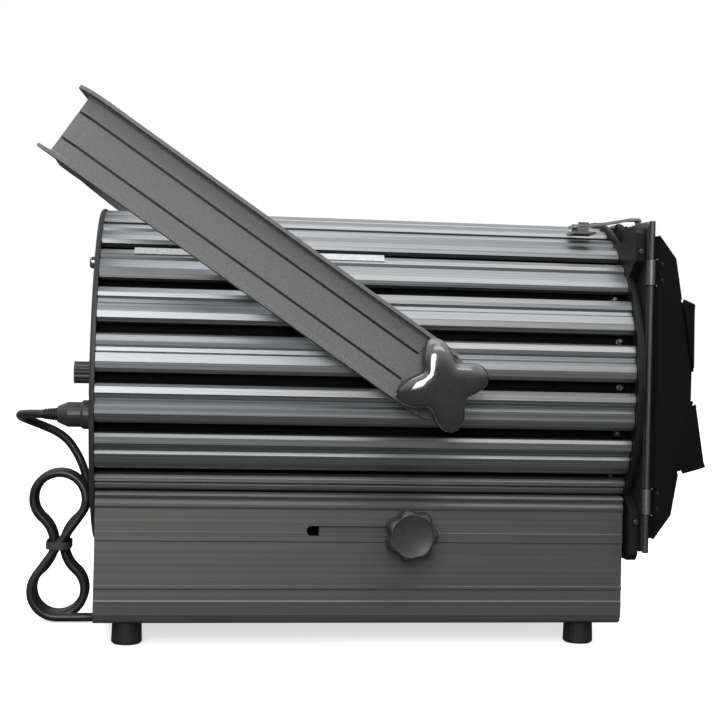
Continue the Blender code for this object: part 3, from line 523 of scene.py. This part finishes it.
def yoke_point(y, reach, across):
    """A point of the twisted yoke; its crossbar isn't twisted in the middle."""
    share = min(1.0, max(0.0, 0.5 + 0.5 * y / YOKE_WEB_IN))
    if abs(y) <= YOKE_FLAT:
        share = 0.5
    t = radians(YOKE_ANGLE - YOKE_TWIST * share)
    return PIVOT_X + reach * cos(t) - across * sin(t), y, HEAD_Z + reach * sin(t) + across * cos(t)


def build_yoke_groove_shade(looks):
    """Near-black strips in the two grooves along the channel's web: painted shade, standing in for the shade
    that falls in the grooves.
    """
    # the strips are painted shade in near-black, set just under the web's surface
    low, high, half_width = 1.45, 2.8, 0.8
    for name, across in (("groove_shade_lower", -10.65), ("groove_shade_upper", 11.65)):
        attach(yoke_line(f"yoke_{name}", across, low, high, half_width, looks["ring"]), "yoke")


# ---------------------------------------------------------------- knobs

def lobed_knob(name, outline, profile, middle, side, look):
    """A knob facing along side * Y: a ring at each (distance out, scale), rounder the smaller it is."""
    verts = []
    for out, scale in profile:
        for x, z in outline:
            reach = (x * x + z * z) ** 0.5
            ring = scale * (scale + (1.0 - scale) * STAR_CROWN / reach)
            verts.append((middle[0] + x * ring, side * out, middle[1] + z * ring))
    count, rows = len(outline), len(profile)
    faces = wall_faces(rows, count)
    faces += [tuple(range(count)), tuple(range((rows - 1) * count, rows * count))]
    return make_object(name, verts, faces, look)


def star_outline(count=128):
    """Four blunt arms, as points round the middle."""
    points = []
    for i in range(count):
        t = 2 * pi * i / count
        wave = 0.5 + 0.5 * cos(4 * t)
        radius = STAR_VALLEY + (STAR_TIP - STAR_VALLEY) * wave ** 0.95
        turn = t + radians(STAR_TURN)
        points.append((radius * cos(turn), radius * sin(turn)))
    return points


def build_star_knobs(looks):
    """Domed four-armed knobs with rounded rims, each on a round hub."""
    rim = [(158.0, 0.74), (158.6, 0.84), (160.2, 0.92), (163.0, 0.97), (167.0, 1.0),
           (STAR_FACE, 0.995)]
    dome = [(STAR_FACE + STAR_DOME * sin(t), 0.995 * cos(t) ** 0.5)
            for t in (0.5 * pi * i / 13 for i in range(1, 13))]
    hub_profile = [(0.0, 12.5), (1.0, 13.0), (9.0, 13.0), (13.0, 11.0), (15.5, 11.0)]
    for side, name in near_far("star"):
        word = name[5:]
        knob = lobed_knob(f"{name}_handle", star_outline(), rim + dome, (PIVOT_X, HEAD_Z), side,
                          looks["star"])
        hub = turned(f"{name}_hub", (PIVOT_X, side * 145.4, HEAD_Z), (0, side, 0), hub_profile,
                     looks["star"], 40)
        for piece in (knob, hub):
            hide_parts(f"star_knob_{word}")
            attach(piece, name)


def build_focus_knob(looks):
    """A knob with seven lobes round its rim and a round, slightly sunk face."""
    rings = (                   # distance out, radius, depth of the hollows between the lobes
        (124.0, 16.6, 2.2), (124.5, 18.4, 2.6), (126.2, 19.7, 3.0), (128.5, 20.0, 3.1),
        (137.0, 20.0, 3.1), (139.4, 19.5, 2.8), (141.2, 18.0, 1.9), (141.9, 16.6, 1.0),
        (142.0, 15.7, 0.3), (141.5, 15.1, 0.0), (141.2, 14.5, 0.0),
    )
    count = 140
    verts = []
    for out, radius, depth in rings:
        for i in range(count):
            t = 2 * pi * i / count
            r = radius - depth * (0.5 - 0.5 * cos(FOCUS_LOBES * t)) ** 1.3
            verts.append((FOCUS[0] + r * cos(t), -out, FOCUS[1] + r * sin(t)))
    rows = len(rings)
    faces = wall_faces(rows, count)
    faces += [tuple(range(count)), tuple(range((rows - 1) * count, rows * count))]
    knob = make_object("focus_handle", verts, faces, looks["plastic"])
    neck = turned("focus_neck", (FOCUS[0], -114.2, FOCUS[1]), (0, -1, 0),
                  [(0.0, 9.5), (0.6, 10.0), (7.0, 10.0), (9.9, 8.6)], looks["plastic"], 32)
    for piece in (knob, neck):
        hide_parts("focus_knob")
        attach(piece, "focus_knob")


# ---------------------------------------------------------------- barn doors

def leaf_point(middle, shut, angle, u, v, w):
    """A place on a leaf: u away from its hinge, v along it and w in front of its rod."""
    t = radians(angle)
    ahead = Vector((1, 0, 0))
    across = Vector(shut) * cos(t) + ahead * sin(t)
    run = ahead.cross(Vector(shut))
    return Vector(middle) + across * u + run * v + across.cross(run) * w


def leaf_bar(name, leaf, low, high, look):
    """A bar between two corners given in a leaf's own directions."""
    corners = [(u, v, w) for u in (low[0], high[0]) for v in (low[1], high[1])
               for w in (low[2], high[2])]
    faces = [(0, 1, 3, 2), (4, 6, 7, 5), (0, 4, 5, 1), (2, 3, 7, 6), (0, 2, 6, 4), (1, 5, 7, 3)]
    bar = make_object(name, [leaf_point(*leaf, *c) for c in corners], faces, look, False)
    bevel = bar.modifiers.new("bevel", "BEVEL")
    bevel.width = 0.25 * MM
    bevel.segments = 2
    return bar


def build_leaf_details(looks):
    """Details of the leaves, each given as name, place, and how far out its sleeves and its ends are."""
    leaves = []
    for side, name in near_far("leaf"):
        place_in_frame = ((HINGE_X, side * HINGE_OUT, FRAME_Z), (0, -side, 0), 35.0)
        leaves.append((name, place_in_frame, 87.0, 115.0))
    for side, name in ((-1, "leaf_bottom"), (1, "leaf_top")):
        place_in_frame = ((HINGE_X, 0.0, FRAME_Z + side * HINGE_OUT), (0, 0, -side), 3.0)
        leaves.append((name, place_in_frame, 36.0, 47.5))
    for name, leaf, sleeve_at, reach in leaves:
        pieces = rolled_edges(name, leaf, sleeve_at, reach, looks)
        pieces += hinge_sleeves(name, leaf, sleeve_at, looks)
        if name in ("leaf_near", "leaf_far"):
            pieces += wing_pins(name, leaf, looks)
        for piece in pieces:
            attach(piece, name)


def rolled_edges(name, leaf, sleeve_at, reach, looks):
    """The rolled rear edge between the hinge sleeves, and beyond them where the leaf is long enough."""
    spans = [(SLEEVE_GAP - sleeve_at, sleeve_at - SLEEVE_GAP)]
    if reach - sleeve_at > 12:
        spans += [(SLEEVE_GAP + sleeve_at, reach - 0.5), (0.5 - reach, -SLEEVE_GAP - sleeve_at)]
    return [leaf_bar(f"{name}_rolled_edge_{i}", leaf, (-1.5, low, 2.65), (0.9, high, 5.5), looks["black"])
            for i, (low, high) in enumerate(spans)]


def hinge_sleeves(name, leaf, sleeve_at, looks):
    """Lighter rings over the hinge sleeves, and two rivets beside each."""
    rivet = [(0.0, 2.3), (0.5, 2.2), (0.9, 1.6), (1.1, 0.7)]
    pieces = []
    for i, v in enumerate((-sleeve_at, sleeve_at)):
        start, end = (leaf_point(*leaf, 0.0, v + step, 0.0) for step in (-9.6, 9.6))
        ring = sleeve(f"{name}_sleeve_{i}", start, end - start, 19.2, 3.78, 3.52, looks["sleeve"])
        pieces.append(ring)
        for k, step in enumerate((-6.0, 6.0)):
            foot = leaf_point(*leaf, 6.0, v + step, LEAF_FRONT + 0.5)
            top = leaf_point(*leaf, 6.0, v + step, LEAF_FRONT + 1.5)
            pieces.append(turned(f"{name}_rivet_{i}{k}", foot, top - foot, rivet, looks["ring"], 16))
    return pieces


def wing_pins(name, leaf, looks):
    """The pins along the hinges of a side leaf's two wings, numbered from below."""
    pieces = []
    for up in (-1, 1):
        start = leaf_point(*leaf, WING_START[0], WING_START[1] * up, LEAF_FRONT)
        end = leaf_point(*leaf, WING_TIP[0], WING_TIP[1] * up, LEAF_FRONT)
        length = (end - start).length
        profile = [(0.0, 1.5), (0.3, 1.9), (length - 0.3, 1.9), (length, 1.5)]
        pieces.append(turned(f"{name}_wing_pin_{up + 1}", start, end - start, profile, looks["black"], 16))
    return pieces


def build_front_screws(looks):
    """Socket screws through the door frame's corners, and on the sides of the ring's ears."""
    for side, word in ((-1, "near"), (1, "far")):
        for up, level in ((-1, "lower"), (1, "upper")):
            at = (199.8, side * 119.0, FRAME_Z + up * 119.0)
            corner = socket_screw(f"frame_screw_{word}_{level}", at, (1, 0, 0), 3.2, 2.0, looks["screw"])
            at = (189.8, side * 125.6, FRAME_Z + up * 103.0)
            ear = socket_screw(f"ear_screw_{word}_{level}", at, (0, side, 0), 1.9, 1.2, looks["screw"])
            for piece in (corner, ear):
                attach(piece, "housing")


# ---------------------------------------------------------------- cord fittings and latch

def build_cord_fittings(looks):
    """The tapered sleeve at the gland and the tie round the hank."""
    ribs = []
    for i in range(7):
        radius, start = 5.6 - 0.22 * i, 2.0 * i
        ribs += [(start, radius), (start + 1.2, radius), (start + 1.3, radius - 0.7),
                 (start + 1.9, radius - 0.7)]
    profile = [(0.0, 6.5), (6.0, 6.2)] + [(6.4 + reach, radius) for reach, radius in ribs] + [(20.6, 4.1)]
    relief = turned("strain_relief", (-240.5, -40.0, 168.0), (-1, 0, 0), profile, looks["rubber"], 32)
    tie = band("cord_tie", (HANK_X, 0.0, TIE_Z), (9.0, 15.4), 6.0, 0.9, 6.0, looks["tie"])
    for piece in (relief, tie):
        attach(piece, "housing")


def band(name, middle, halves, corner, thick, height, look):
    """A strap round a bundle: an upright wall along a rectangle with round corners, in X and Y."""
    rings = []
    for grow, z in ((0.0, -0.5), (thick, -0.5), (thick, 0.5), (0.0, 0.5)):
        ring = []
        for sx, sy, start in ((1, 1, 0.0), (-1, 1, 0.5 * pi), (-1, -1, pi), (1, -1, 1.5 * pi)):
            centre = (sx * (halves[0] - corner), sy * (halves[1] - corner))
            ring += arc(centre, corner + grow, start, start + 0.5 * pi, 7)
        rings.append([(middle[0] + x, middle[1] + y, middle[2] + z * height) for x, y in ring])
    verts = [p for ring in rings for p in ring]
    return make_object(name, verts, wall_faces(len(rings), len(rings[0]), True), look)


def build_latch_bar(looks):
    """The spring bar of the latch: from behind its pin, over the top rod and down in front of the frame."""
    top = [(150.0, 326.4), (158.0, 327.6), (176.0, 329.4), (191.0, 332.2), (197.0, 333.6), (204.6, 333.8),
           (206.0, 333.2), (206.6, 331.8), (206.6, 326.0)]
    bottom = [(205.2, 325.6), (205.2, 331.2), (204.0, 331.9), (197.0, 331.6), (191.4, 330.2), (176.0, 327.4),
              (158.0, 325.6), (150.0, 324.4)]
    section = top + bottom
    count = len(section)
    verts = [(x, y, z) for y in LATCH_SIDES for x, z in section]
    faces = [tuple(range(count)), tuple(reversed(range(count, 2 * count)))]
    faces += [(i, i + count, (i + 1) % count + count, (i + 1) % count) for i in range(count)]
    bar = make_object("latch_bar", verts, faces, looks["bright"])
    profile = [(0.0, 1.4), (0.3, 1.7), (18.9, 1.7), (19.2, 1.4)]
    pin = turned("latch_pin", (LATCH_PIN[0], -77.6, LATCH_PIN[1]), (0, 1, 0), profile, looks["steel"], 20)
    for piece in (bar, pin):
        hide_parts("latch_strip")
        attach(piece, "latch")


def main():
    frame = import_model()
    looks = build_materials()
    build_camera()
    build_studio()
    build_cord(looks)
    paint_frame(frame["nodes"], looks)
    build_head_details(looks)
    build_star_knobs(looks)
    build_focus_knob(looks)
    build_leaf_details(looks)
    build_front_screws(looks)
    build_yoke_groove_shade(looks)
    build_latch_bar(looks)
    build_cord_fittings(looks)


main()
